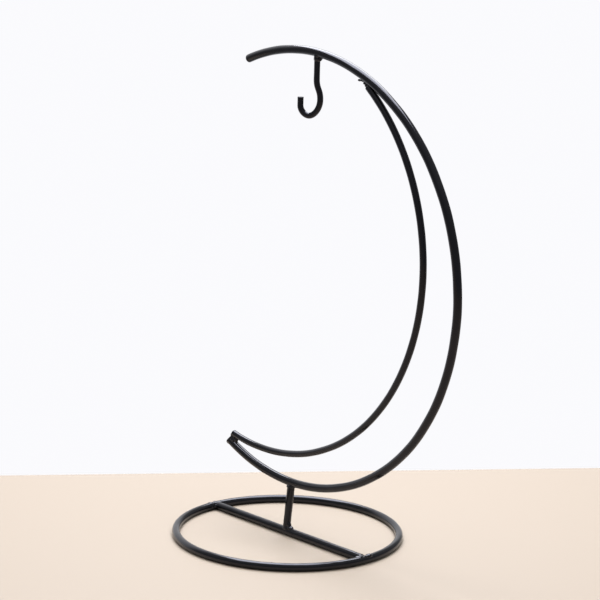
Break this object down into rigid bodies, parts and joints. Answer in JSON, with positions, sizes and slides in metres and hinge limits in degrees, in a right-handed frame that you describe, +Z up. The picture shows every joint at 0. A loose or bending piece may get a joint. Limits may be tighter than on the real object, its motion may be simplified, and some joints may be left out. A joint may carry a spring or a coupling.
{
  "type": "hanging display stand",
  "caption": "Free-standing stand of black painted bent steel wire: a crescent of bent arcs on a post over a round wire base, with a J hook below its upper end.",
  "frame": {"origin": "bottom centre of the whole stand's box, on the plane that the base ring rests on", "axes": "+Z up; +X along the crossbar, towards the crescent's bulge; the crescent lies in the plane Y = 0"},
  "size_m": [0.2204, 0.15, 0.3182],
  "materials": {
    "painted_wire": "gloss black",
    "painted_weld": "gloss black over an uneven weld bead"
  },
  "bodies": {
    "root": {"base_ring": "painted_wire", "crossbar": "painted_wire", "post": "painted_wire", "outer_arc": "painted_wire", "inner_arc": "painted_wire", "hook": "painted_wire", "ring_seam_weld": "painted_weld", "crossbar_rear_weld": "painted_weld", "crossbar_front_weld": "painted_weld", "post_foot_weld": "painted_weld", "post_top_weld": "painted_weld", "hook_weld": "painted_weld", "inner_arc_top_weld": "painted_weld", "tip_weld": "painted_weld"}
  },
  "joints": []
}
